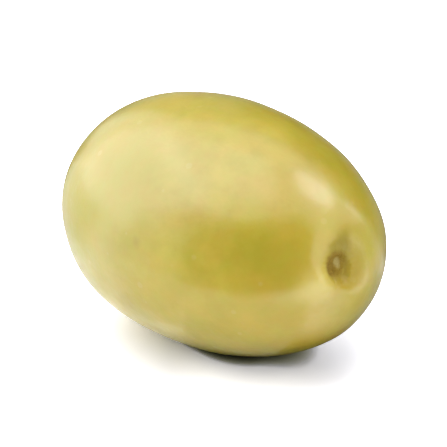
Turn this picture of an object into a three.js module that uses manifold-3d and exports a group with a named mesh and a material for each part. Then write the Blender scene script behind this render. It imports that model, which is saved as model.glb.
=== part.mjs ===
// One pickled green table olive, as picked, lying on its side.
// Millimetres, +Z up. The fruit's long axis runs along X with the stem end towards +X.
// The origin is on the surface it rests on, under the middle of the fruit.
// The real fruit grew as one piece, so it is one solid.

import * as THREE from 'three';
import { mergeVertices } from 'three/addons/utils/BufferGeometryUtils.js';
import Module from 'manifold-3d';

// Body of the fruit
const LENGTH = 26.0; // from the blossom tip to the stem end
const WIDTH = 18.3; // side to side
const HEIGHT = 18.1; // top to bottom, before the resting patch is cut
const TAPER = -0.042; // how much the stem end is slimmer than the tip end
const FULLNESS = 0.07; // how much both ends are blunter than an ellipse
const TIP_LIFT = 0.18; // the slight point at the blossom end
const TIP_RADIUS = 3.0;

// Where the stem was
const SCAR_OFF_AXIS = THREE.MathUtils.degToRad(14); // angle from the long axis to the scar
const SCAR_CLOCK = THREE.MathUtils.degToRad(32); // turned from -Y towards +Z
const HOLLOW_RADIUS = 3.1; // mean radius of the shallow dimple that the scar sits in
const HOLLOW_SKEW = 0.5; // how much further than that the dimple reaches on its long side
const HOLLOW_CLOCK = THREE.MathUtils.degToRad(50); // its long side, turned from +Y towards +Z
const HOLLOW_DEPTH = 0.65;
const HOLLOW_SOFTNESS = 3; // how gently the dimple's edge runs out into the skin
const PIT_RADIUS = 1.0; // the scar itself, a small round pit
const PIT_WALL = 0.45; // width of its sloping wall
const PIT_DEPTH = 0.28;
const NUB_RADIUS = 0.55; // stub of the stalk's core in the middle of the pit
const NUB_HEIGHT = 0.25;

// The soft skin flattens where the fruit lies
const REST_CUT = 0.2; // how much of the underside the resting patch takes off
const CUTTER_SIZE = 40;

// Mesh
const ROUND_STEPS = 48; // around the scar
const ALONG_STEPS = 44; // from the blossom end to the scar
const SCAR_CROWDING = 1.6; // above 1 puts more of the rows near the scar
const MERGE_DISTANCE = 1e-5;

const SKIN_COLOUR = 0xc8b95f;

const scarDirection = new THREE.Vector3(
  Math.cos(SCAR_OFF_AXIS),
  -Math.sin(SCAR_OFF_AXIS) * Math.cos(SCAR_CLOCK),
  Math.sin(SCAR_OFF_AXIS) * Math.sin(SCAR_CLOCK),
);

// Two directions square to the scar's: near enough +Y and +Z.
const scarAcross = new THREE.Vector3(0, 0, 1).cross(scarDirection).normalize();
const scarUpward = new THREE.Vector3().crossVectors(scarDirection, scarAcross);

// 1 at the centre, falling smoothly to 0 at t = 1. A higher power ends more softly.
function softBump(t, power = 2) {
  return t < 1 ? (1 - t * t) ** power : 0;
}

// The plain egg shape: the skin's point in a direction of the unit sphere.
function eggPoint(direction) {
  const swell = 1 + TAPER * direction.x + FULLNESS * direction.x ** 2;
  return new THREE.Vector3(
    (LENGTH / 2) * direction.x,
    (WIDTH / 2) * swell * direction.y,
    (HEIGHT / 2) * swell * direction.z,
  );
}

// Outward direction of the skin, near enough that of the ellipsoid.
function skinNormal(direction) {
  return new THREE.Vector3(
    direction.x / LENGTH,
    direction.y / WIDTH,
    direction.z / HEIGHT,
  ).normalize();
}

// Height of the skin over the plain egg shape, at an offset from the middle of the scar.
function scarHeight(offset) {
  const distance = offset.length();
  const angle = Math.atan2(offset.dot(scarUpward), offset.dot(scarAcross));
  const reach = HOLLOW_RADIUS * (1 + HOLLOW_SKEW * Math.cos(angle - HOLLOW_CLOCK));
  const hollow = -HOLLOW_DEPTH * softBump(distance / reach, HOLLOW_SOFTNESS);
  const wallFoot = PIT_RADIUS - PIT_WALL / 2;
  const wallTop = PIT_RADIUS + PIT_WALL / 2;
  const inPit = 1 - THREE.MathUtils.smoothstep(distance, wallFoot, wallTop);
  const nub = NUB_HEIGHT * softBump(distance / NUB_RADIUS);
  return hollow - PIT_DEPTH * inPit + nub;
}

const scarCentre = eggPoint(scarDirection);
const tipCentre = eggPoint(new THREE.Vector3(-1, 0, 0));

function skinPoint(direction) {
  const point = eggPoint(direction);
  const tip = TIP_LIFT * softBump(point.distanceTo(tipCentre) / TIP_RADIUS);
  const height = scarHeight(point.clone().sub(scarCentre)) + tip;
  return point.addScaledVector(skinNormal(direction), height);
}

// A unit ball whose rows of points circle the scar, closer together near it.
function scarBall() {
  const profile = [];
  for (let i = ALONG_STEPS; i >= 0; i -= 1) {
    const angle = Math.PI * (i / ALONG_STEPS) ** SCAR_CROWDING;
    profile.push(new THREE.Vector2(Math.sin(angle), Math.cos(angle)));
  }
  profile[0].x = 0; // the blossom end lies exactly on the axis
  const ball = new THREE.LatheGeometry(profile, ROUND_STEPS);
  const up = new THREE.Vector3(0, 1, 0);
  return ball.applyQuaternion(new THREE.Quaternion().setFromUnitVectors(up, scarDirection));
}

function wholeFruit() {
  const geometry = scarBall();
  const position = geometry.attributes.position;
  const direction = new THREE.Vector3();
  for (let i = 0; i < position.count; i += 1) {
    direction.fromBufferAttribute(position, i).normalize();
    const point = skinPoint(direction);
    position.setXYZ(i, point.x, point.y, point.z);
  }
  return geometry;
}

const wasm = await Module();
wasm.setup();

// Triangles with three different corners, as a list of vertex numbers.
function properTriangles(index) {
  const kept = [];
  for (let i = 0; i < index.count; i += 3) {
    const corners = [index.getX(i), index.getX(i + 1), index.getX(i + 2)];
    if (new Set(corners).size === 3) kept.push(...corners);
  }
  return new Uint32Array(kept);
}

function toSolid(geometry) {
  geometry.deleteAttribute('normal');
  geometry.deleteAttribute('uv');
  const merged = mergeVertices(geometry, MERGE_DISTANCE);
  return new wasm.Manifold(new wasm.Mesh({
    numProp: 3,
    vertProperties: new Float32Array(merged.attributes.position.array),
    triVerts: properTriangles(merged.index),
  }));
}

function fromSolid(solid) {
  const mesh = solid.getMesh();
  const geometry = new THREE.BufferGeometry();
  geometry.setAttribute('position', new THREE.BufferAttribute(mesh.vertProperties, 3));
  geometry.setIndex(new THREE.BufferAttribute(mesh.triVerts, 1));
  return geometry;
}

// Block whose top face is the plane of the resting patch.
function belowRestingPatch(lowest) {
  const block = new THREE.BoxGeometry(CUTTER_SIZE, CUTTER_SIZE, CUTTER_SIZE);
  return block.translate(0, 0, lowest + REST_CUT - CUTTER_SIZE / 2);
}

// Moves the fruit so that the origin is at the middle of its box's underside.
function seat(geometry) {
  geometry.computeBoundingBox();
  const { min, max } = geometry.boundingBox;
  return geometry.translate(-(min.x + max.x) / 2, -(min.y + max.y) / 2, -min.z);
}

function oliveGeometry() {
  const fruit = wholeFruit();
  fruit.computeBoundingBox();
  const cutter = belowRestingPatch(fruit.boundingBox.min.z);
  const rested = fromSolid(toSolid(fruit).subtract(toSolid(cutter)));
  seat(rested);
  rested.computeVertexNormals();
  return rested;
}

const skin = new THREE.MeshStandardMaterial({ color: SKIN_COLOUR, roughness: 0.35, metalness: 0 });
const olive = new THREE.Mesh(oliveGeometry(), skin);
olive.name = 'olive_fruit';

const group = new THREE.Group();
group.add(olive);

export default group;
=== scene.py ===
"""One pickled green table olive, lying on its side on a plain white studio floor.

Run as a script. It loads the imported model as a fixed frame, builds the fruit's fine skin around it
and sets the stage. Everything is in metres, in the frame's axes: +X towards the stem end, +Z up.
"""

import math
from functools import reduce
from typing import NamedTuple

import bpy
import numpy as np
from bpy.props import FloatProperty, FloatVectorProperty, IntProperty, PointerProperty
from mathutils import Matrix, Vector, noise


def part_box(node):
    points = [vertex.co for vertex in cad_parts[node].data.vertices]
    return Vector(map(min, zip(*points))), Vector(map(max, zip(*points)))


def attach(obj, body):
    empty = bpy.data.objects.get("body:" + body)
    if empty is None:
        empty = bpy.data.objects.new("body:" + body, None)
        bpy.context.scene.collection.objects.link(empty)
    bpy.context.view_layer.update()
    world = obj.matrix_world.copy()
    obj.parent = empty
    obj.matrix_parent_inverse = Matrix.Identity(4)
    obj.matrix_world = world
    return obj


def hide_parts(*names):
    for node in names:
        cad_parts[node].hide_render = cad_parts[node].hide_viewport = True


bl_info = {
    "name": "Green olive",
    "version": (1, 0, 0),
    "blender": (4, 5, 0),
    "location": "View3D > Sidebar > Olive",
    "description": "Builds a pickled green olive and a plain studio stage for it",
    "category": "Add Mesh",
}

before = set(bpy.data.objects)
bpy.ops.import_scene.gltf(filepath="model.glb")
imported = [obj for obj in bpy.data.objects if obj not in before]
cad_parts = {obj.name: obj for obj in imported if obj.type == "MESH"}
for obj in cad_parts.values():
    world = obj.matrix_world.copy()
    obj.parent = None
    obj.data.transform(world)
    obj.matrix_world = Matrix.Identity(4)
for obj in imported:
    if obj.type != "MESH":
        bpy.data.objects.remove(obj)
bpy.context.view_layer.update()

NODE = "olive_fruit"
BODY = "root"

MM = 0.001
NODE_LOW, NODE_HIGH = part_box(NODE)
NODE_SIZE = NODE_HIGH - NODE_LOW
NODE_CENTRE = (NODE_LOW + NODE_HIGH) / 2


# Settings


class FruitShape(bpy.types.PropertyGroup):
    """Sizes of the fruit and of what is left of its stem."""

    length: FloatProperty(
        name="Length",
        description="From the blossom end to the stem end",
        default=26.0 * MM,
        unit="LENGTH",
    )
    width: FloatProperty(
        name="Width", description="Side to side", default=18.3 * MM, unit="LENGTH"
    )
    height: FloatProperty(
        name="Height",
        description="Top to bottom, before the fruit flattens where it rests",
        default=18.1 * MM,
        unit="LENGTH",
    )
    taper: FloatProperty(
        name="Taper",
        description="How much the stem end is slimmer than the blossom end",
        default=-0.042,
        subtype="FACTOR",
    )
    fullness: FloatProperty(
        name="Fullness",
        description="How much both ends are blunter than an ellipse",
        default=0.07,
        subtype="FACTOR",
    )
    tip_lift: FloatProperty(
        name="Tip lift",
        description="Height of the slight point at the blossom end",
        default=0.18 * MM,
        unit="LENGTH",
    )
    tip_radius: FloatProperty(
        name="Tip radius",
        description="How far the slight point spreads",
        default=3.0 * MM,
        unit="LENGTH",
    )
    scar_off_axis: FloatProperty(
        name="Scar off axis",
        description="Angle from the long axis to the stem scar",
        default=math.radians(14),
        subtype="ANGLE",
    )
    scar_clock: FloatProperty(
        name="Scar clock",
        description="Which way the scar sits off the axis, turned from -Y towards +Z",
        default=math.radians(32),
        subtype="ANGLE",
    )
    hollow_radius: FloatProperty(
        name="Hollow radius",
        description="Mean radius of the dimple round the scar",
        default=3.1 * MM,
        unit="LENGTH",
    )
    hollow_skew: FloatProperty(
        name="Hollow skew",
        description="How much further than its mean radius the dimple reaches on its long side",
        default=0.5,
        subtype="FACTOR",
        min=0,
        max=1,
    )
    hollow_clock: FloatProperty(
        name="Hollow clock",
        description="Which way the dimple's long side lies, turned from +Y towards +Z",
        default=math.radians(50),
        subtype="ANGLE",
    )
    hollow_depth: FloatProperty(
        name="Hollow depth",
        description="Depth of the dimple round the scar",
        default=0.65 * MM,
        unit="LENGTH",
    )
    pit_radius: FloatProperty(
        name="Pit radius",
        description="Radius of the stem scar",
        default=1.0 * MM,
        unit="LENGTH",
    )
    pit_wall: FloatProperty(
        name="Pit wall",
        description="Width of the scar's sloping wall",
        default=0.45 * MM,
        unit="LENGTH",
    )
    pit_depth: FloatProperty(
        name="Pit depth",
        description="Depth of the scar below the dimple",
        default=0.28 * MM,
        unit="LENGTH",
    )
    nub_radius: FloatProperty(
        name="Nub radius",
        description="Radius of the stalk's stub in the middle of the scar",
        default=0.55 * MM,
        unit="LENGTH",
    )
    nub_height: FloatProperty(
        name="Nub height",
        description="Height of the stalk's stub over the scar's floor",
        default=0.25 * MM,
        unit="LENGTH",
    )
    rest_cut: FloatProperty(
        name="Rest flattening",
        description="How far the soft underside is pressed in where the fruit rests",
        default=0.2 * MM,
        unit="LENGTH",
    )
    round_steps: IntProperty(
        name="Steps round", description="Mesh columns round the scar", default=320, min=16
    )
    along_steps: IntProperty(
        name="Steps along",
        description="Mesh rows from the scar to the blossom end",
        default=280,
        min=16,
    )


def colour(name, description, default):
    return FloatVectorProperty(
        name=name,
        description=description,
        default=default,
        subtype="COLOR",
        size=3,
        min=0,
        max=1,
    )


class SkinLook(bpy.types.PropertyGroup):
    """Colours and finish of the skin."""

    flesh_light: colour("Light skin", "The paler yellow-green of the skin", (0.60, 0.480, 0.060))
    flesh_deep: colour("Deep skin", "The stronger olive green of the skin", (0.44, 0.350, 0.014))
    flesh_green: colour("Green skin", "Greener skin towards the blossom end", (0.48, 0.412, 0.042))
    flesh_pale: colour("Pale skin", "Paler skin round the stem end", (0.63, 0.488, 0.036))
    flesh_warm: colour("Warm skin", "Warmer skin towards the stem end", (0.53, 0.396, 0.024))
    speck: colour("Pore", "Pale pores in the skin", (0.72, 0.65, 0.28))
    bruise: colour("Bruise", "Small brownish marks", (0.38, 0.26, 0.025))
    # Painted shade: the dark wedge on the dimple's slope beside the scar, painted into the skin's
    # colour.
    stain: colour("Painted_dimple_shade", "Darker olive streak beside the scar", (0.29, 0.225, 0.012))
    scar_ring: colour("Scar ring", "Dried ring where the stem broke off", (0.27, 0.165, 0.010))
    # Partly paler skin, partly a painted highlight on the scar's lip.
    scar_lip: colour("Scar lip", "Pale skin at the lip of the scar", (0.74, 0.63, 0.15))
    scar_nub: colour("Scar nub", "The stalk's stub", (0.44, 0.345, 0.10))
    roughness: FloatProperty(
        name="Roughness",
        description="Roughness of the skin",
        default=0.34,
        subtype="FACTOR",
        min=0,
        max=1,
    )


class StudioSetup(bpy.types.PropertyGroup):
    """Camera and light."""

    azimuth: FloatProperty(
        name="Camera azimuth",
        description="Angle of the camera round the fruit; 0 looks along +Y",
        default=math.radians(40.8),
        subtype="ANGLE",
    )
    elevation: FloatProperty(
        name="Camera elevation",
        description="Angle of the camera above the horizon",
        default=math.radians(26),
        subtype="ANGLE",
    )
    lens: FloatProperty(
        name="Lens", description="Focal length in millimetres", default=400.0, min=50.0
    )
    fill: FloatProperty(
        name="Fill",
        description="Share of the picture's width that the fruit takes",
        default=0.72,
        subtype="FACTOR",
        min=0.1,
        max=1,
    )
    room_light: FloatProperty(
        name="Room light",
        description="Strength of the even light from all round",
        default=0.795,
        min=0,
    )


# Shape of the fruit

BLOSSOM_WAY = (-1.0, 0.0, 0.0)  # direction from the fruit's middle to its blossom end
SCAR_CROWDING = 1.6  # above 1 puts more of the mesh's rows near the scar
REST_SOFTNESS = 0.08 * MM  # how round the edge of the flattened underside is
SWELL_HEIGHT, SWELL_SIZE, SWELL_SEED = 0.10 * MM, 9.0 * MM, 1.0  # broad swells of the skin
DENT_HEIGHT, DENT_SIZE, DENT_SEED = 0.055 * MM, 3.5 * MM, 2.0  # smaller ones on top of them

# Unevenness of the stem scar. Lobes, wobbles and pleats go round it, and OUTWARD is how fast they
# change on the way out, next to how fast they change on the way round at AROUND_RADIUS.
NEAR_SCAR = 2.0  # it ends within this many mean radii of the dimple
AROUND_RADIUS = 3.0 * MM
LOBE_SHARE, LOBE_SIZE, LOBE_OUTWARD, LOBE_SEED = 0.18, 0.9, 0.2, 2.0  # the dimple's edge
RIM_SHARE, NUB_SHARE, WOBBLE_SIZE, WOBBLE_SEED = 0.10, 0.15, 0.6, 4.0  # the rim's and the stub's
PLEAT_HEIGHT, PLEAT_SIZE, PLEAT_OUTWARD, PLEAT_SEED = 0.035 * MM, 0.16, 0.35, 6.0
PLEAT_START, PLEAT_END = 0.7, 2.2  # in radii of the scar
CRUMB_HEIGHT, CRUMB_SIZE, CRUMB_SEED = 0.06 * MM, 0.35 * MM, 9.0  # grain of the scar's floor
LIP_HEIGHT, LIP_OFFSET, LIP_WIDTH = 0.04 * MM, 0.6 * MM, 0.8 * MM  # low swelling round the rim
HOLLOW_SOFTNESS = 1.5  # above 1 lets the dimple's edge run out more gently


def soft_bump(t):
    """1 at t = 0, falling smoothly to 0 at t = 1 and t = -1."""
    return (1 - np.minimum(np.abs(t), 1) ** 2) ** 2


def smooth_step(x, low, high):
    """0 up to low, rising smoothly to 1 at high."""
    t = np.clip((x - low) / (high - low), 0, 1)
    return t * t * (3 - 2 * t)


def lengths(vectors):
    return np.linalg.norm(vectors, axis=-1)


def scar_direction(s):
    """Unit vector from the middle of the fruit's ball to the stem scar."""
    side = math.sin(s.scar_off_axis)
    return np.array(
        [
            math.cos(s.scar_off_axis),
            -side * math.cos(s.scar_clock),
            side * math.sin(s.scar_clock),
        ]
    )


def egg_points(s, directions):
    """The plain egg shape: the skin's points in directions of the unit ball."""
    u = directions[..., 0]
    swell = 1 + s.taper * u + s.fullness * u**2
    return np.stack(
        [
            s.length / 2 * u,
            s.width / 2 * swell * directions[..., 1],
            s.height / 2 * swell * directions[..., 2],
        ],
        axis=-1,
    )


def skin_normals(s, directions):
    """Outward directions of the skin, near enough those of the ellipsoid."""
    normals = directions / np.array([s.length, s.width, s.height])
    return normals / lengths(normals)[..., None]


def side_axes(direction):
    """Two unit vectors square to direction and to each other: level, and nearly upright."""
    level = np.cross([0.0, 0.0, 1.0], direction)
    level /= np.linalg.norm(level)
    return level, np.cross(direction, level)


def ball_rows(s):
    """Directions on the unit ball: the scar, rows of points that circle it, and the far end."""
    axis = scar_direction(s)
    level, upright = side_axes(axis)
    steps = np.arange(1, s.along_steps) / s.along_steps
    away = math.pi * steps**SCAR_CROWDING
    turn = 2 * math.pi * np.arange(s.round_steps) / s.round_steps
    ring = np.cos(turn)[:, None] * level + np.sin(turn)[:, None] * upright
    rows = np.cos(away)[:, None, None] * axis + np.sin(away)[:, None, None] * ring
    return np.vstack([axis, rows.reshape(-1, 3), -axis])


def ball_faces(s):
    """Quads between the rows of ball_rows, and triangles at its two ends."""
    columns, rows = s.round_steps, s.along_steps - 1
    last = 1 + rows * columns
    end = last - columns
    faces = []
    for column in range(columns):
        beside = (column + 1) % columns
        faces.append((0, 1 + column, 1 + beside))
        faces.append((last, end + beside, end + column))
    for top in range(1, end, columns):
        below = top + columns
        for column in range(columns):
            beside = (column + 1) % columns
            faces.append((top + column, below + column, below + beside, top + beside))
    return faces


def noise_at(points, size, seed):
    """Smooth noise from -1 to 1 at each point, with features about this size."""
    shift = Vector((seed, 2 * seed, 3 * seed))
    return np.array([noise.noise(Vector(p) / size + shift) for p in points])


def noise_where(mask, points, size, seed):
    """Smooth noise at the points in the mask, and 0 at the others."""
    values = np.zeros(len(points))
    values[mask] = noise_at(points[mask], size, seed)
    return values


def soft_floor(heights, softness):
    """Heights pressed up to at least zero, with a rounded edge."""
    return (heights + np.sqrt(heights**2 + softness**2)) / 2


def scar_relief(s, points):
    """Height of the skin round the stem scar, over the plain egg shape."""
    axis = scar_direction(s)
    level, upright = side_axes(axis)
    offset = points - egg_points(s, axis)
    distance = lengths(offset)
    angle = np.arctan2(offset @ upright, offset @ level)
    near = distance < NEAR_SCAR * s.hollow_radius
    around = np.stack([np.cos(angle), np.sin(angle), distance / AROUND_RADIUS], axis=-1)
    lobes = noise_where(near, around * [1, 1, LOBE_OUTWARD], LOBE_SIZE, LOBE_SEED)
    wobble = noise_where(near, around, WOBBLE_SIZE, WOBBLE_SEED)
    pleats = noise_where(near, around * [1, 1, PLEAT_OUTWARD], PLEAT_SIZE, PLEAT_SEED)
    grain = noise_where(near, points, CRUMB_SIZE, CRUMB_SEED)

    skew = s.hollow_skew * np.cos(angle - s.hollow_clock)
    reach = s.hollow_radius * (1 + skew + LOBE_SHARE * lobes)
    hollow = s.hollow_depth * soft_bump(distance / reach) ** HOLLOW_SOFTNESS
    rim = s.pit_radius * (1 + RIM_SHARE * wobble)
    in_pit = 1 - smooth_step(distance, rim - s.pit_wall / 2, rim + s.pit_wall / 2)
    nub = s.nub_height * soft_bump(distance / (s.nub_radius * (1 + NUB_SHARE * wobble)))
    lip = LIP_HEIGHT * soft_bump((distance - rim - LIP_OFFSET) / LIP_WIDTH)
    pleated = smooth_step(distance, rim * PLEAT_START, rim)
    pleated = pleated * (1 - smooth_step(distance, rim, PLEAT_END * s.pit_radius))
    pleating = PLEAT_HEIGHT * pleats * pleated
    crumb = CRUMB_HEIGHT * grain * in_pit
    return nub + lip + pleating + crumb - hollow - s.pit_depth * in_pit


def fruit_points(s):
    """All points of the skin, pressed flat where the fruit rests and seated in the frame."""
    directions = ball_rows(s)
    plain = egg_points(s, directions)
    tip = egg_points(s, np.array(BLOSSOM_WAY))
    height = s.tip_lift * soft_bump(lengths(plain - tip) / s.tip_radius)
    height = height + scar_relief(s, plain)
    height = height + SWELL_HEIGHT * noise_at(plain, SWELL_SIZE, SWELL_SEED)
    height = height + DENT_HEIGHT * noise_at(plain, DENT_SIZE, DENT_SEED)
    points = plain + skin_normals(s, directions) * height[:, None]
    floor_height = plain[:, 2].min() + s.rest_cut
    points[:, 2] = soft_floor(points[:, 2] - floor_height, REST_SOFTNESS)
    low, high = points.min(axis=0), points.max(axis=0)
    shift = np.array(NODE_CENTRE) - (low + high) / 2
    shift[2] = NODE_LOW.z - low[2]
    return points + shift


def skin_place(s, direction):
    """Where the skin is in this direction of the unit ball, in millimetres in the frame.

    It leaves out the unevenness, which is near enough for colours.
    """
    middle = np.array([NODE_CENTRE.x, NODE_CENTRE.y, NODE_LOW.z + s.height / 2 - s.rest_cut])
    return (egg_points(s, np.array(direction)) + middle) / MM


# Building blocks for materials


class Nodes:
    """Adds nodes to a tree, and links what it is given into them."""

    def __init__(self, tree):
        self.tree = tree
        tree.nodes.clear()

    def add(self, kind, inputs=None, **settings):
        node = self.tree.nodes.new("ShaderNode" + kind)
        for name, value in settings.items():
            setattr(node, name, value)
        for name, value in (inputs or {}).items():
            self.feed(node.inputs[name], value)
        return node

    def feed(self, socket, value):
        if isinstance(value, bpy.types.NodeSocket):
            self.tree.links.new(value, socket)
        elif isinstance(value, bpy.types.Node):
            self.tree.links.new(value.outputs[0], socket)
        else:
            socket.default_value = value

    def show(self, shader, output="OutputMaterial"):
        """Makes this shader the tree's result."""
        self.feed(self.add(output).inputs["Surface"], shader)

    def math(self, operation, a, b=0.0, clamp=False):
        node = self.add("Math", {0: a, 1: b}, operation=operation, use_clamp=clamp)
        return node.outputs[0]

    def product(self, *values):
        return reduce(lambda a, b: self.math("MULTIPLY", a, b), values)

    def total(self, *values):
        return reduce(lambda a, b: self.math("ADD", a, b), values)

    def difference(self, a, b):
        return self.math("SUBTRACT", a, b)

    def vector(self, operation, a, b=(0, 0, 0), output="Vector"):
        return self.add("VectorMath", {0: a, 1: b}, operation=operation).outputs[output]

    def scaled(self, a, scale):
        node = self.add("VectorMath", {0: a, "Scale": scale}, operation="SCALE")
        return node.outputs["Vector"]

    def length(self, vector):
        return self.vector("LENGTH", vector, output="Value")

    def along(self, vector, way):
        """How far a vector goes in this direction."""
        return self.vector("DOT_PRODUCT", vector, tuple(way), output="Value")

    def apart(self, place, point):
        """Distance from a place to a fixed point."""
        return self.vector("DISTANCE", place, tuple(point), output="Value")

    def band(self, value, low, high, out_low=0.0, out_high=1.0):
        """value eased from out_low to out_high as it goes from low to high."""
        inputs = {
            "Value": value,
            "From Min": low,
            "From Max": high,
            "To Min": out_low,
            "To Max": out_high,
        }
        return self.add("MapRange", inputs, interpolation_type="SMOOTHSTEP").outputs[0]

    def mix(self, factor, a, b, blend="MIX"):
        node = self.add("Mix", data_type="RGBA", blend_type=blend)
        self.feed(node.inputs["Factor"], factor)
        self.feed(node.inputs["A"], a if not isinstance(a, tuple) else (*a, 1))
        self.feed(node.inputs["B"], b if not isinstance(b, tuple) else (*b, 1))
        return node.outputs["Result"]


def new_material(name):
    material = bpy.data.materials.new(name)
    material.use_nodes = True
    return material, Nodes(material.node_tree)


# Skin. Distances are in millimetres. A band is two values, and what is made of the value at each.


class Cloud(NamedTuple):
    """Soft noise over the skin, with scale features to the millimetre."""

    scale: float
    detail: float = 2.0
    roughness: float = 0.5
    distortion: float = 0.0
    moved: float = 0.0  # moves the pattern, so that no two clouds look alike


class Spot(NamedTuple):
    """A round spot of another colour: its share is most up to full, and falls to 0 at gone."""

    centre: tuple  # a direction from the fruit's middle, or steps across and upward from the scar
    full: float
    gone: float
    most: float
    ragged: float = 1.0  # how ragged its edge is


class Flecks(NamedTuple):
    """Small marks scattered over the skin, one at most in each cell of a pattern."""

    scale: float  # cells to the millimetre
    smallest: float  # in cells
    largest: float
    edge: tuple
    chance: str  # the colour channel of the pattern that picks the cells with no mark
    missing: float  # how many those are, as a share
    strength: float


DRIFTS, DRIFT_BAND = Cloud(0.11, 3, 0.55, 0.4), (0.36, 0.66, 0.0, 0.65)
MOTTLE, MOTTLE_BAND = Cloud(0.55, 4, 0.6, moved=31.0), (0.3, 0.7, 0.0, 0.42)
HUES, HUE_BAND = Cloud(0.42, 5, 0.7, moved=19.0), (0.32, 0.68)
WARMER, GREENER = (1.035, 0.975, 0.97), (0.965, 1.025, 0.93)  # multiply the skin's colour

# Colours by the distance along the fruit, which wanders
WANDER, WANDER_REACH = Cloud(0.13, moved=77.0), 30.0
RIPPLE, RIPPLE_REACH = Cloud(0.45, 3, 0.6, moved=53.0), 14.0
GREEN_END = (8.0, -13.0, 0.0, 1.0)
WARM_END = (2.0, 12.0, 0.0, 0.45)

# Colours by the distance from the scar, across from it, and in depth
PALE_END = (1.5, 8.5, 0.15, 0.0)
GREEN_BEHIND = (0.6, 3.4, 0.0, 0.35)
GREEN_DEPTH = (-12.0, -5.0)

# Painted shade: a deeper patch on the upper left flank, where the lamps fall most.
SHOULDER = Spot((-0.30, -0.58, 0.76), full=1.0, gone=7.5, most=0.6, ragged=6.0)
BROW = Spot((0.57, -0.52, 0.64), full=0.5, gone=3.2, most=0.45, ragged=6.0)
BLOSSOM_MARK = Spot(BLOSSOM_WAY, full=0.25, gone=0.75, most=0.6)
# Painted shade: a deeper patch left of the scar, on the side that faces the camera.
CHEEK = Spot((-4.2, 1.6), full=0.4, gone=2.8, most=0.5, ragged=4.0)
HALO = Spot((0.6, -0.3), full=0.9, gone=2.5, most=0.6)
# Pale patch at the scar's lip: partly paler skin, partly painted highlight.
LIP = Spot((-1.9, -0.9), full=0.4, gone=2.0, most=0.5)

PORES = Flecks(0.62, 0.07, 0.17, (-0.03, 0.05), "Green", missing=0.35, strength=0.13)
MARKS = Flecks(0.22, 0.03, 0.10, (-0.06, 0.05), "Blue", missing=0.6, strength=0.35)
MARKS_MOVED, MARK_BEND_SCALE, MARK_BEND = 12.0, 1.3, 0.8  # bent out of round

SCAR_MIDDLE = (-0.14, 0.27)  # steps from the middle of the pit
SCAR_END = (-8.0, -5.0)  # depths between which the skin stops being near the scar
FLATTENING = 0.85  # how much of the depth distances near the scar leave out
RAGGED, RAGGED_REACH = Cloud(1.6, 3), 0.5

# Painted shade: a dark wedge painted from the scar up the dimple's slope, where that slope is in
# shade.
STAIN_CLOCK = math.radians(56)  # the painted shade wedge lies this far from +Y towards +Z, seen from the scar
STAIN_OFFSET, STAIN_STRENGTH = 0.2, 0.75
STAIN_START, STAIN_END = (0.0, 0.9), (1.6, 3.6, 1.0, 0.0)  # by the distance along it
STAIN_HALF_WIDTH = (0.6, 3.4, 1.15, 0.2)  # by the distance along it
STAIN_EDGE = (-0.6, 0.4, 1.0, 0.0)  # by the distance past its side

RING_EDGE = (0.78, 1.28, 1.0, 0.0)
RING_NOTCH_WAY, RING_NOTCH = (-0.7, -0.7), (0.3, 1.2, 0.0, 0.25)  # where it reaches out less
RING_FAINT_WAY, RING_FAINT = (1.0, -0.6), (-0.8, 1.2, 1.0, 0.68)  # partly painted light: fainter on the lower right, where the pit's wall is lit
STUB_PLACE, STUB_EDGE = (0.3, 0.1), (0.15, 0.52, 1.0, 0.0)
STUB_NARROWNESS, STUB_RAGGED = 1.35, 0.3

# Finish
SHEEN, SHEEN_BAND = Cloud(0.35, 3, 0.6, moved=5.0), (0.3, 0.7)
LESS_ROUGH, MORE_ROUGH, RING_ROUGHER = -0.05, 0.06, 0.35
COAT_START, COAT_DULLED = (0.95, 1.6), (0.0, 0.6, 1.0, 0.15)
FLESH_GLOW = (0.9, 1.7, 0.05, 0.7)  # share of light let into the flesh, by the distance
WAVES, WAVE_HEIGHT = Cloud(1.1), 0.042
GRAIN, GRAIN_HEIGHT = Cloud(5.0), 0.003
SCAR_GRAIN, SCAR_GRAIN_HEIGHT = Cloud(6.0, 3), 0.10
PORE_HEIGHT = -0.006


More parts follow.
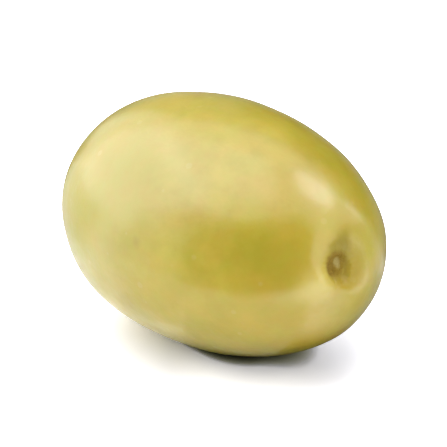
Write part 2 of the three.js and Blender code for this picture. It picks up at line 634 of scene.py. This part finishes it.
class Skin:
    """The fruit's skin while its material is built up, layer by layer.

    Round the stem scar, places go by the scar's own directions: across, which is level, upward,
    and depth, which is towards the outside.
    """

    def __init__(self, look, shape):
        self.look, self.shape = look, shape
        self.material, self.nodes = new_material("olive_skin")
        nodes = self.nodes
        self.place = nodes.scaled(nodes.add("TexCoord").outputs["Object"], 1 / MM)
        axis = scar_direction(shape)
        self.level, self.upright = side_axes(axis)
        scar = skin_place(shape, axis) + self.beside_scar(SCAR_MIDDLE)
        offset = nodes.vector("SUBTRACT", self.place, tuple(scar))
        self.depth = nodes.along(offset, axis)
        self.near = nodes.band(self.depth, *SCAR_END)
        drop = nodes.scaled(tuple(axis), nodes.product(self.depth, self.near, FLATTENING))
        self.offset = nodes.vector("SUBTRACT", offset, drop)
        self.across = nodes.along(self.offset, self.level)
        self.upward = nodes.along(self.offset, self.upright)
        self.distance = nodes.length(self.offset)
        self.roughen = self.swing(RAGGED, RAGGED_REACH)
        self.ragged = nodes.total(self.distance, self.roughen)

    def beside_scar(self, steps):
        """Vector that goes these steps across and upward."""
        return steps[0] * self.level + steps[1] * self.upright

    def moved(self, amount):
        """The place moved by this much each way."""
        return self.nodes.vector("ADD", self.place, (amount, -amount, 2 * amount))

    def cloudiness(self, cloud):
        """How thick the cloud is here: about 0.5, and from 0 to 1."""
        inputs = {
            "Vector": self.moved(cloud.moved) if cloud.moved else self.place,
            "Scale": cloud.scale,
            "Detail": cloud.detail,
            "Roughness": cloud.roughness,
            "Distortion": cloud.distortion,
        }
        return self.nodes.add("TexNoise", inputs).outputs["Fac"]

    def swing(self, cloud, reach):
        """The cloud made to swing round 0, over this reach in all."""
        return self.nodes.product(self.nodes.difference(self.cloudiness(cloud), 0.5), reach)

    def spot(self, spot, from_centre):
        """The spot's share, by the distance from its centre."""
        nodes = self.nodes
        distance = nodes.total(from_centre, nodes.product(self.roughen, spot.ragged))
        return nodes.band(distance, spot.full, spot.gone, spot.most, 0.0)

    def spot_on_fruit(self, spot):
        centre = skin_place(self.shape, spot.centre)
        return self.spot(spot, self.nodes.apart(self.place, centre))

    def spot_by_scar(self, spot):
        centre = self.beside_scar(spot.centre)
        return self.spot(spot, self.nodes.apart(self.offset, centre))

    def flecks(self, flecks, place):
        """1 in the flecks, 0 between them."""
        nodes = self.nodes
        pattern = {"Vector": place, "Scale": flecks.scale, "Randomness": 1.0}
        cells = nodes.add("TexVoronoi", pattern).outputs
        channels = nodes.add("SeparateColor", {"Color": cells["Color"]}).outputs
        size = nodes.band(channels["Red"], 0.0, 1.0, flecks.smallest, flecks.largest)
        inside = nodes.band(nodes.difference(size, cells["Distance"]), *flecks.edge)
        present = nodes.math("GREATER_THAN", channels[flecks.chance], flecks.missing)
        return nodes.product(inside, present)

    def paint(self, share, colour):
        """Lays a colour over the skin, as thick as share says."""
        self.colour = self.nodes.mix(share, self.colour, tuple(colour))

    def paint_flesh(self):
        """Broad drifts between deep and light skin, with mottling over them."""
        nodes, look = self.nodes, self.look
        drift = nodes.band(self.cloudiness(DRIFTS), *DRIFT_BAND)
        mottle = nodes.band(self.cloudiness(MOTTLE), *MOTTLE_BAND)
        tone = nodes.total(drift, mottle)
        self.colour = nodes.mix(tone, tuple(look.flesh_deep), tuple(look.flesh_light))

    def paint_ends(self):
        """Greener towards the blossom end, warmer and paler towards the stem, greener behind it."""
        nodes, look = self.nodes, self.look
        along = nodes.total(
            nodes.add("SeparateXYZ", {"Vector": self.place}).outputs["X"],
            self.swing(WANDER, WANDER_REACH),
            self.swing(RIPPLE, RIPPLE_REACH),
        )
        self.paint(nodes.band(along, *GREEN_END), look.flesh_green)
        self.paint(nodes.band(along, *WARM_END), look.flesh_warm)
        self.paint(nodes.band(self.distance, *PALE_END), look.flesh_pale)
        behind = nodes.band(self.across, *GREEN_BEHIND)
        behind = nodes.product(behind, nodes.band(self.depth, *GREEN_DEPTH))
        self.paint(behind, look.flesh_green)

    def paint_patches(self):
        """Painted shade as deeper patches on the upper left flank and left of the scar, a lighter
        patch, and a fine change of hue over all of it.
        """
        nodes, look = self.nodes, self.look
        self.paint(self.spot_by_scar(CHEEK), look.flesh_deep)
        self.paint(self.spot_on_fruit(SHOULDER), look.flesh_deep)
        self.paint(self.spot_on_fruit(BROW), look.flesh_light)
        hue = nodes.mix(nodes.band(self.cloudiness(HUES), *HUE_BAND), WARMER, GREENER)
        self.colour = nodes.mix(1.0, self.colour, hue, "MULTIPLY")

    def paint_flecks(self):
        """Small pale pores, a few small brownish marks, and the mark at the blossom end."""
        nodes, look = self.nodes, self.look
        self.pores = self.flecks(PORES, self.place)
        self.paint(nodes.product(self.pores, PORES.strength), look.speck)
        place = self.moved(MARKS_MOVED)
        bend = nodes.add("TexNoise", {"Vector": place, "Scale": MARK_BEND_SCALE})
        bend = nodes.scaled(bend.outputs["Color"], MARK_BEND)
        marks = self.flecks(MARKS, nodes.vector("ADD", place, bend))
        self.paint(nodes.product(marks, MARKS.strength), look.bruise)
        self.paint(self.spot_on_fruit(BLOSSOM_MARK), look.bruise)

    def paint_round_scar(self):
        """Brownish halo round the stem scar, a pale patch at its lip that is partly paler skin and
        partly painted highlight, and painted shade in a wedge up the dimple's slope.
        """
        nodes, look = self.nodes, self.look
        self.halo = self.spot_by_scar(HALO)
        self.paint(self.halo, look.bruise)
        self.paint(self.spot_by_scar(LIP), look.scar_lip)
        run_way = self.beside_scar((math.cos(STAIN_CLOCK), math.sin(STAIN_CLOCK)))
        side_way = self.beside_scar((-math.sin(STAIN_CLOCK), math.cos(STAIN_CLOCK)))
        run = nodes.along(self.offset, run_way)
        side = nodes.difference(nodes.along(self.offset, side_way), STAIN_OFFSET)
        side = nodes.total(nodes.math("ABSOLUTE", side), self.roughen)
        past_side = nodes.difference(side, nodes.band(run, *STAIN_HALF_WIDTH))
        # Painted shade of the dimple's upper slope, as a dark wedge.
        self.stain = nodes.product(
            nodes.band(past_side, *STAIN_EDGE),
            nodes.band(run, *STAIN_START),
            nodes.band(run, *STAIN_END),
            self.near,
            STAIN_STRENGTH,
        )
        self.paint(self.stain, look.stain)

    def paint_scar(self):
        """Brown ring of the stem scar, painted fainter where its wall is lit, and the stalk's paler
        stub.
        """
        nodes, look = self.nodes, self.look
        notch = nodes.along(self.offset, self.beside_scar(RING_NOTCH_WAY))
        reached = nodes.total(self.ragged, nodes.band(notch, *RING_NOTCH))
        self.ring = nodes.band(reached, *RING_EDGE)
        faint = nodes.along(self.offset, self.beside_scar(RING_FAINT_WAY))
        self.paint(nodes.product(self.ring, nodes.band(faint, *RING_FAINT)), look.scar_ring)
        across = nodes.product(nodes.difference(self.across, STUB_PLACE[0]), STUB_NARROWNESS)
        upward = nodes.difference(self.upward, STUB_PLACE[1])
        away = nodes.length(nodes.add("CombineXYZ", {"X": across, "Y": upward}).outputs[0])
        away = nodes.total(away, nodes.product(self.roughen, STUB_RAGGED))
        self.paint(nodes.product(nodes.band(away, *STUB_EDGE), self.near), look.scar_nub)

    def finish(self):
        """Roughness, fine relief, and the waxy coat, which is missing at the scar."""
        nodes, look = self.nodes, self.look
        least, most = look.roughness + LESS_ROUGH, look.roughness + MORE_ROUGH
        rough = nodes.band(self.cloudiness(SHEEN), *SHEEN_BAND, least, most)
        rough = nodes.math("ADD", rough, nodes.product(self.ring, RING_ROUGHER), clamp=True)
        dull = nodes.math("MAXIMUM", self.stain, self.halo)
        coat = nodes.band(self.ragged, *COAT_START)
        coat = nodes.product(coat, nodes.band(dull, *COAT_DULLED))
        relief = nodes.total(
            nodes.product(self.cloudiness(WAVES), WAVE_HEIGHT),
            nodes.product(self.cloudiness(GRAIN), GRAIN_HEIGHT),
            nodes.product(self.pores, PORE_HEIGHT),
            nodes.product(self.cloudiness(SCAR_GRAIN), self.ring, SCAR_GRAIN_HEIGHT),
        )
        bump = nodes.add("Bump", {"Height": relief, "Strength": 1.0, "Distance": MM})
        shader = {
            "Base Color": self.colour,
            "Roughness": rough,
            "Normal": bump,
            "IOR": 1.5,
            "Specular IOR Level": 0.4,
            "Subsurface Weight": nodes.band(self.ragged, *FLESH_GLOW),
            "Subsurface Radius": (1.0, 0.65, 0.2),
            "Subsurface Scale": 4.0 * MM,
            "Coat Weight": coat,
            "Coat Roughness": 0.26,
            "Coat IOR": 1.8,
        }
        nodes.show(nodes.add("BsdfPrincipled", shader))


def skin_material(look, shape):
    skin = Skin(look, shape)
    skin.paint_flesh()
    skin.paint_ends()
    skin.paint_patches()
    skin.paint_flecks()
    skin.paint_round_scar()
    skin.paint_scar()
    skin.finish()
    return skin.material


# Studio: what stands where. Angles are in degrees, round from the camera towards the right of its
# view, and up. Distances are in metres, from the fruit's middle.

FLOOR_SIZE = 3.0
CLIP_NEAR, CLIP_FAR = 0.01, 20.0  # the camera's limits, in its distances from the fruit
LEFT_SIDE = -98.0  # the side that most of the light comes from


class Lamp(NamedTuple):
    """A rectangular softbox that faces the fruit."""

    name: str
    round: float
    up: float
    distance: float
    width: float
    height: float
    brightness: float  # of its face, where 1 is white
    in_gloss: bool = True  # whether the fruit's gloss shows it


LAMPS = (
    Lamp("left_softbox", LEFT_SIDE, 30, 0.22, 0.34, 0.25, 1.05),
    Lamp("right_softbox", 100, 54, 0.4, 0.16, 0.14, 2.75),
    Lamp("right_strip", 109, 21, 0.4, 0.05, 0.12, 1.4),
    Lamp("top_softbox", -95, 74, 0.45, 0.38, 0.38, 0.85),
    Lamp("right_fill", 42, 6, 0.3, 0.3, 0.2, 0.95, in_gloss=False),
    Lamp("back_fill", 192, 30, 0.3, 0.3, 0.2, 2.2, in_gloss=False),
)

# How much light each felt or card gives back, where 1 is white
FELTS = {
    "black_felt": 0.01,
    "dark_grey_felt": 0.15,
    "mid_grey_felt": 0.25,
    "grey_felt": 0.45,
    "light_grey_felt": 0.55,
    "white_card": 1.2,
}
# How much of what is behind it each net stops
NETS = {"black_net": 0.14, "side_net": 0.3, "rim_net": 0.22}
NET_THREAD = 0.01
NET_SPACING = 0.0002  # height of each layer of net over the one below

LEFT_NET_EDGES = (-98, -84, -76, -70, -62)  # far side of each layer
FAR_LEFT_NET_STARTS = (0.0165, 0.020, 0.025)  # near edge of each layer


class Sheet(NamedTuple):
    """A sheet that only the fruit's gloss shows: it keeps no light off the fruit or the floor.

    Each corner is its angle round, its distance out and its height over the floor.
    """

    name: str
    cloth: str  # one of FELTS or NETS
    corners: list


def upright_sheet(name, cloth, distance, edges):
    """A sheet that stands on the floor all at one distance, up to each edge's angle and height."""
    low = [(edges[0][0], distance, 0.0), (edges[-1][0], distance, 0.0)]
    high = [(degrees, distance, height) for degrees, height in reversed(edges)]
    return Sheet(name, cloth, low + high)


def net_height(layer):
    return NET_SPACING * (layer + 1)


FRONT_SHEETS = [
    Sheet(
        "front_flag",
        "black_felt",
        [
            (-43, 0.0238, 0.0005),
            (-6, 0.0238, 0.0005),
            (28, 0.0270, 0.0050),
            (41, 0.050, 0.038),
            (41, 0.068, 0.096),
            (8, 0.061, 0.079),
            (-12, 0.060, 0.070),
            (-45, 0.082, 0.067),
        ],
    ),
    Sheet(
        "front_edge_flag",
        "grey_felt",
        [
            (-74, 0.045, 0.0005),
            (28, 0.035, 0.0040),
            (42, 0.065, 0.050),
            (43, 0.085, 0.115),
            (-12, 0.070, 0.080),
            (-66, 0.130, 0.082),
            (-74, 0.130, 0.030),
        ],
    ),
    Sheet(
        "front_mat",
        "light_grey_felt",
        [
            (-33, 0.006, 0.0003),
            (32, 0.007, 0.0003),
            (29, 0.0230, 0.0004),
            (-1, 0.0238, 0.0004),
            (-39, 0.0238, 0.0004),
        ],
    ),
    Sheet(
        "white_card",
        "white_card",
        [(31, 0.021, 0.0003), (41, 0.021, 0.0003), (43, 0.075, 0.0004), (29, 0.075, 0.0004)],
    ),
]

LEFT_SHEETS = [
    Sheet(
        "front_left_net",
        "side_net",
        [(-43, 0.026, 0.0005), (-60, 0.026, 0.0005), (-66, 0.04, 0.014), (-41, 0.04, 0.014)],
    ),
    Sheet(
        "near_left_net",
        "rim_net",
        [
            (-130, 0.0105, 0.0003),
            (-90, 0.0110, 0.0003),
            (-90, 0.0160, 0.0003),
            (-130, 0.0170, 0.0003),
        ],
    ),
]

BACK_SHEETS = [
    upright_sheet("right_flag", "mid_grey_felt", 0.20, [(72, 0.07), (100, 0.045), (118, 0.045)]),
    Sheet(
        "right_mat",
        "grey_felt",
        [(80, 0.025, 0.0003), (125, 0.025, 0.0003), (125, 0.3, 0.0004), (80, 0.3, 0.0004)],
    ),
    upright_sheet("back_flag", "black_felt", 0.25, [(112, 0.13), (192, 0.14)]),
    upright_sheet("back_edge_flag", "dark_grey_felt", 0.27, [(114, 0.21), (200, 0.23)]),
    Sheet(
        "back_mat",
        "dark_grey_felt",
        [(115, 0.014, 0.0003), (215, 0.014, 0.0003), (215, 0.3, 0.0004), (115, 0.3, 0.0004)],
    ),
]


def left_net(layer, edge):
    """One layer of the nets that lie to the left of the fruit, thicker towards its front."""
    height = net_height(layer)
    near = [(edge, 0.010, height), (-36, 0.008, height)]
    far = [(-40, 0.1, height), (edge, 0.15, height)]
    return Sheet(f"left_net_{layer}", "black_net", near + far)


def far_left_net(layer, start):
    """One layer of the nets that lie behind and to the left, thicker further out."""
    height = net_height(layer)
    near = [(-170, start, height), (-98, start, height)]
    far = [(-98, 0.3, height), (-170, 0.3, height)]
    return Sheet(f"far_left_net_{layer}", "rim_net", near + far)


def gloss_sheets():
    """All the sheets round the fruit."""
    return [
        *FRONT_SHEETS,
        *(left_net(layer, edge) for layer, edge in enumerate(LEFT_NET_EDGES, 1)),
        *LEFT_SHEETS,
        *(far_left_net(layer, start) for layer, start in enumerate(FAR_LEFT_NET_STARTS, 1)),
        *BACK_SHEETS,
    ]


# Studio: how it is made


def direction_at(azimuth, elevation):
    """Unit vector towards a place round the fruit. Azimuth 0 is -Y, 90 degrees is +X."""
    flat = math.cos(elevation)
    return Vector((math.sin(azimuth) * flat, -math.cos(azimuth) * flat, math.sin(elevation)))


def from_camera(turn, degrees, up=0.0):
    """Unit vector this many degrees round from the camera, and this many up."""
    return direction_at(turn + math.radians(degrees), math.radians(up))


def aim(obj, towards, distance):
    """Puts obj at this distance from the fruit's middle, with its -Z facing the fruit."""
    obj.location = NODE_CENTRE + towards * distance
    obj.rotation_euler = (-towards).to_track_quat("-Z", "Y").to_euler()


def new_object(name, data):
    obj = bpy.data.objects.new(name, data)
    bpy.context.scene.collection.objects.link(obj)
    return obj


def flat_sheet(name, corners, material):
    """A sheet of the stage, with its corners measured from the point the fruit rests on."""
    mesh = bpy.data.meshes.new(name)
    mesh.from_pydata(corners, [], [tuple(range(len(corners)))])
    mesh.materials.append(material)
    sheet = new_object(name, mesh)
    sheet.location = (NODE_CENTRE.x, NODE_CENTRE.y, NODE_LOW.z)
    return sheet


def hang(sheet, turn, material):
    """Hangs or lays a sheet where the gloss shows it, and nothing else does."""
    corners = [
        from_camera(turn, degrees) * distance + Vector((0, 0, height))
        for degrees, distance, height in sheet.corners
    ]
    obj = flat_sheet(sheet.name, corners, material)
    obj.visible_camera = False
    obj.visible_diffuse = False
    obj.visible_shadow = False


def felt(name, grey):
    material, nodes = new_material(name)
    nodes.show(nodes.add("BsdfDiffuse", {"Color": (grey, grey, grey, 1)}))
    return material


def netting(name, stops):
    """Black net that stops this share of what is behind it."""
    material, nodes = new_material(name)
    clear = nodes.add("BsdfTransparent")
    thread = nodes.add("BsdfDiffuse", {"Color": (NET_THREAD, NET_THREAD, NET_THREAD, 1)})
    nodes.show(nodes.add("MixShader", {0: stops, 1: clear, 2: thread}))
    return material


def put_lamp(lamp, turn):
    light = bpy.data.lights.new(lamp.name, "AREA")
    light.shape = "RECTANGLE"
    light.size, light.size_y = lamp.width, lamp.height
    light.energy = math.pi * lamp.width * lamp.height * lamp.brightness
    obj = new_object(lamp.name, light)
    aim(obj, from_camera(turn, lamp.round, lamp.up), lamp.distance)
    obj.visible_glossy = lamp.in_gloss


def seen_rays(nodes, *kinds):
    """1 for rays of these kinds, 0 for others."""
    path = nodes.add("LightPath").outputs
    return reduce(lambda a, b: nodes.math("MAXIMUM", a, b), [path[kind] for kind in kinds])


def white_world(room_light):
    """Even light from all round, which is white where the eye, gloss or glass shows it."""
    world = bpy.data.worlds.new("white_room")
    world.use_nodes = True
    nodes = Nodes(world.node_tree)
    seen = seen_rays(nodes, "Is Camera Ray", "Is Glossy Ray", "Is Transmission Ray")
    strength = nodes.add("MapRange", {"Value": seen, "To Min": room_light, "To Max": 1.0})
    background = nodes.add("Background", {"Color": (1, 1, 1, 1), "Strength": strength})
    nodes.show(background, "OutputWorld")
    bpy.context.scene.world = world


# Floor. Distances are in metres, and a band gives two distances and the values at them.

PAPER_GAIN = 2.0  # how much brighter than its light the paper looks, which makes it white
GREEN_GAIN = 1.01  # next to red
BLUE_BAND = (0.3, 0.95, 0.6, 1.12)  # blue next to red, by how open the crevice is
ALL_WHITE = (0.035, 0.12)  # from the first distance out to the second, the paper turns plain white

CREVICE_TILT = 35.0  # degrees up from the left that the contact shadow opens towards
CREVICE_REACH = (-0.003, 0.006, 0.00084, 0.0002)  # its width, by the distance to the left
CREVICE_MORE = (-0.0070, -0.0030, 0.0006, 0.0)  # and what is added to it on the right
CREVICE_DEPTH = 2.2  # above 1 makes it darker

SOFT_REACH = 0.008  # width of the soft shadow round the contact shadow
SOFT_MIDDLE = -0.0028  # where it is palest, by the distance to the left
SOFT_DARKEST = (0.002, 0.0065, 0.9, 0.62)  # how pale it stays, by the distance from there
SOFT_BAND = (0.4, 0.9)  # how open the paper is where the shadow is darkest, and where it ends

PAPER_IN_LIGHT, PAPER_IN_GLOSS = 0.85, 1.1  # brightness of the paper that the fruit receives
RIGHT_DIM_PLACE, RIGHT_DIM_BAND = (85.0, 0.017), (0.005, 0.016, 0.25, 1.0)
UNDER_DIM_PLACE, UNDER_DIM_BAND = (48.0, 0.005), (0.004, 0.009, 0.05, 1.0)
UNDER_DIM_SHAPE = (0.9, 1.0, 1.0)


def shadowed_paper(nodes, place, turn):
    """Paper as the eye sees it near the fruit, with a contact shadow and a soft one round it."""
    leftward = nodes.along(place, from_camera(turn, LEFT_SIDE))
    reach = nodes.total(nodes.band(leftward, *CREVICE_REACH), nodes.band(leftward, *CREVICE_MORE))
    opening = tuple(from_camera(turn, LEFT_SIDE, CREVICE_TILT))
    crevice = nodes.add("AmbientOcclusion", {"Distance": reach, "Normal": opening}).outputs["AO"]
    around = nodes.add("AmbientOcclusion", {"Distance": SOFT_REACH}).outputs["AO"]
    sideways = nodes.math("ABSOLUTE", nodes.difference(leftward, SOFT_MIDDLE))
    shade = nodes.product(
        nodes.band(around, *SOFT_BAND, nodes.band(sideways, *SOFT_DARKEST), 1.0),
        nodes.math("POWER", crevice, CREVICE_DEPTH),
    )
    blue = nodes.product(nodes.band(crevice, *BLUE_BAND), PAPER_GAIN)
    gain = {"X": PAPER_GAIN, "Y": GREEN_GAIN * PAPER_GAIN, "Z": blue}
    gain = nodes.add("CombineXYZ", gain).outputs[0]
    return nodes.add("BsdfDiffuse", {"Color": nodes.scaled(gain, shade)})


def lighting_paper(nodes, place, turn):
    """Paper as the fruit receives its light, dimmer on the right and under the fruit."""
    in_gloss = seen_rays(nodes, "Is Glossy Ray")
    bright = nodes.band(in_gloss, 0.0, 1.0, PAPER_IN_LIGHT, PAPER_IN_GLOSS)
    degrees, distance = RIGHT_DIM_PLACE
    from_right = nodes.apart(place, from_camera(turn, degrees) * distance)
    degrees, distance = UNDER_DIM_PLACE
    under = nodes.vector("SUBTRACT", place, tuple(from_camera(turn, degrees) * distance))
    from_under = nodes.length(nodes.vector("MULTIPLY", under, UNDER_DIM_SHAPE))
    bright = nodes.product(
        bright, nodes.band(from_right, *RIGHT_DIM_BAND), nodes.band(from_under, *UNDER_DIM_BAND)
    )
    return nodes.add("BsdfDiffuse", {"Color": bright})


def floor_material(turn):
    """White paper that takes the shadow near the fruit and is plain white beyond."""
    material, nodes = new_material("white_floor")
    place = nodes.add("TexCoord").outputs["Object"]
    far = nodes.band(nodes.length(place), *ALL_WHITE)
    white = nodes.add("Emission", {"Color": (1, 1, 1, 1), "Strength": 1.0})
    shown = nodes.add("MixShader", {0: far, 1: shadowed_paper(nodes, place, turn), 2: white})
    seen = seen_rays(nodes, "Is Camera Ray", "Is Transmission Ray")
    nodes.show(nodes.add("MixShader", {0: seen, 1: lighting_paper(nodes, place, turn), 2: shown}))
    return material


def lay_floor(turn):
    half = FLOOR_SIZE / 2
    corners = [(-half, -half, 0), (half, -half, 0), (half, half, 0), (-half, half, 0)]
    flat_sheet("studio_floor", corners, floor_material(turn))


def studio_camera(studio):
    data = bpy.data.cameras.new("camera")
    data.lens = studio.lens
    towards = direction_at(studio.azimuth, studio.elevation)
    across = Vector((math.cos(studio.azimuth), math.sin(studio.azimuth), 0))
    seen_width = 2 * math.hypot(across.x * NODE_SIZE.x / 2, across.y * NODE_SIZE.y / 2)
    distance = seen_width / studio.fill * data.lens / data.sensor_width
    data.clip_start, data.clip_end = distance * CLIP_NEAR, distance * CLIP_FAR
    camera = new_object("camera", data)
    aim(camera, towards, distance)
    bpy.context.scene.camera = camera


# Operators


class OLIVE_OT_stage(bpy.types.Operator):
    """Set the white floor, the backdrop, the lamps and the camera"""

    bl_idname = "olive.stage"
    bl_label = "Set the stage"

    def execute(self, context):
        studio = context.scene.olive_studio
        turn = studio.azimuth
        studio_camera(studio)
        white_world(studio.room_light)
        lay_floor(turn)
        cloths = {name: felt(name, grey) for name, grey in FELTS.items()}
        cloths.update({name: netting(name, stops) for name, stops in NETS.items()})
        for sheet in gloss_sheets():
            hang(sheet, turn, cloths[sheet.cloth])
        for lamp in LAMPS:
            put_lamp(lamp, turn)
        context.scene.view_settings.view_transform = "Standard"
        return {"FINISHED"}


class OLIVE_OT_fruit(bpy.types.Operator):
    """Build the olive with its skin and stem scar"""

    bl_idname = "olive.fruit"
    bl_label = "Build the olive"

    def execute(self, context):
        shape = context.scene.olive_shape
        mesh = bpy.data.meshes.new("green_olive")
        mesh.from_pydata(fruit_points(shape).tolist(), [], ball_faces(shape))
        mesh.validate()
        mesh.shade_smooth()
        mesh.materials.append(skin_material(context.scene.olive_look, shape))
        fruit = new_object("green_olive", mesh)
        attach(fruit, BODY)
        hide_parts(NODE)
        return {"FINISHED"}


class OLIVE_PT_panel(bpy.types.Panel):
    """Olive tools in the sidebar"""

    bl_idname = "OLIVE_PT_panel"
    bl_label = "Green olive"
    bl_space_type = "VIEW_3D"
    bl_region_type = "UI"
    bl_category = "Olive"

    def draw(self, context):
        column = self.layout.column()
        column.operator(OLIVE_OT_stage.bl_idname)
        column.operator(OLIVE_OT_fruit.bl_idname)


CLASSES = (
    FruitShape,
    SkinLook,
    StudioSetup,
    OLIVE_OT_stage,
    OLIVE_OT_fruit,
    OLIVE_PT_panel,
)


def register():
    for cls in CLASSES:
        bpy.utils.register_class(cls)
    bpy.types.Scene.olive_shape = PointerProperty(type=FruitShape)
    bpy.types.Scene.olive_look = PointerProperty(type=SkinLook)
    bpy.types.Scene.olive_studio = PointerProperty(type=StudioSetup)


def unregister():
    del bpy.types.Scene.olive_studio
    del bpy.types.Scene.olive_look
    del bpy.types.Scene.olive_shape
    for cls in reversed(CLASSES):
        bpy.utils.unregister_class(cls)


def main():
    register()
    bpy.ops.olive.stage()
    bpy.ops.olive.fruit()


if __name__ == "__main__":
    main()
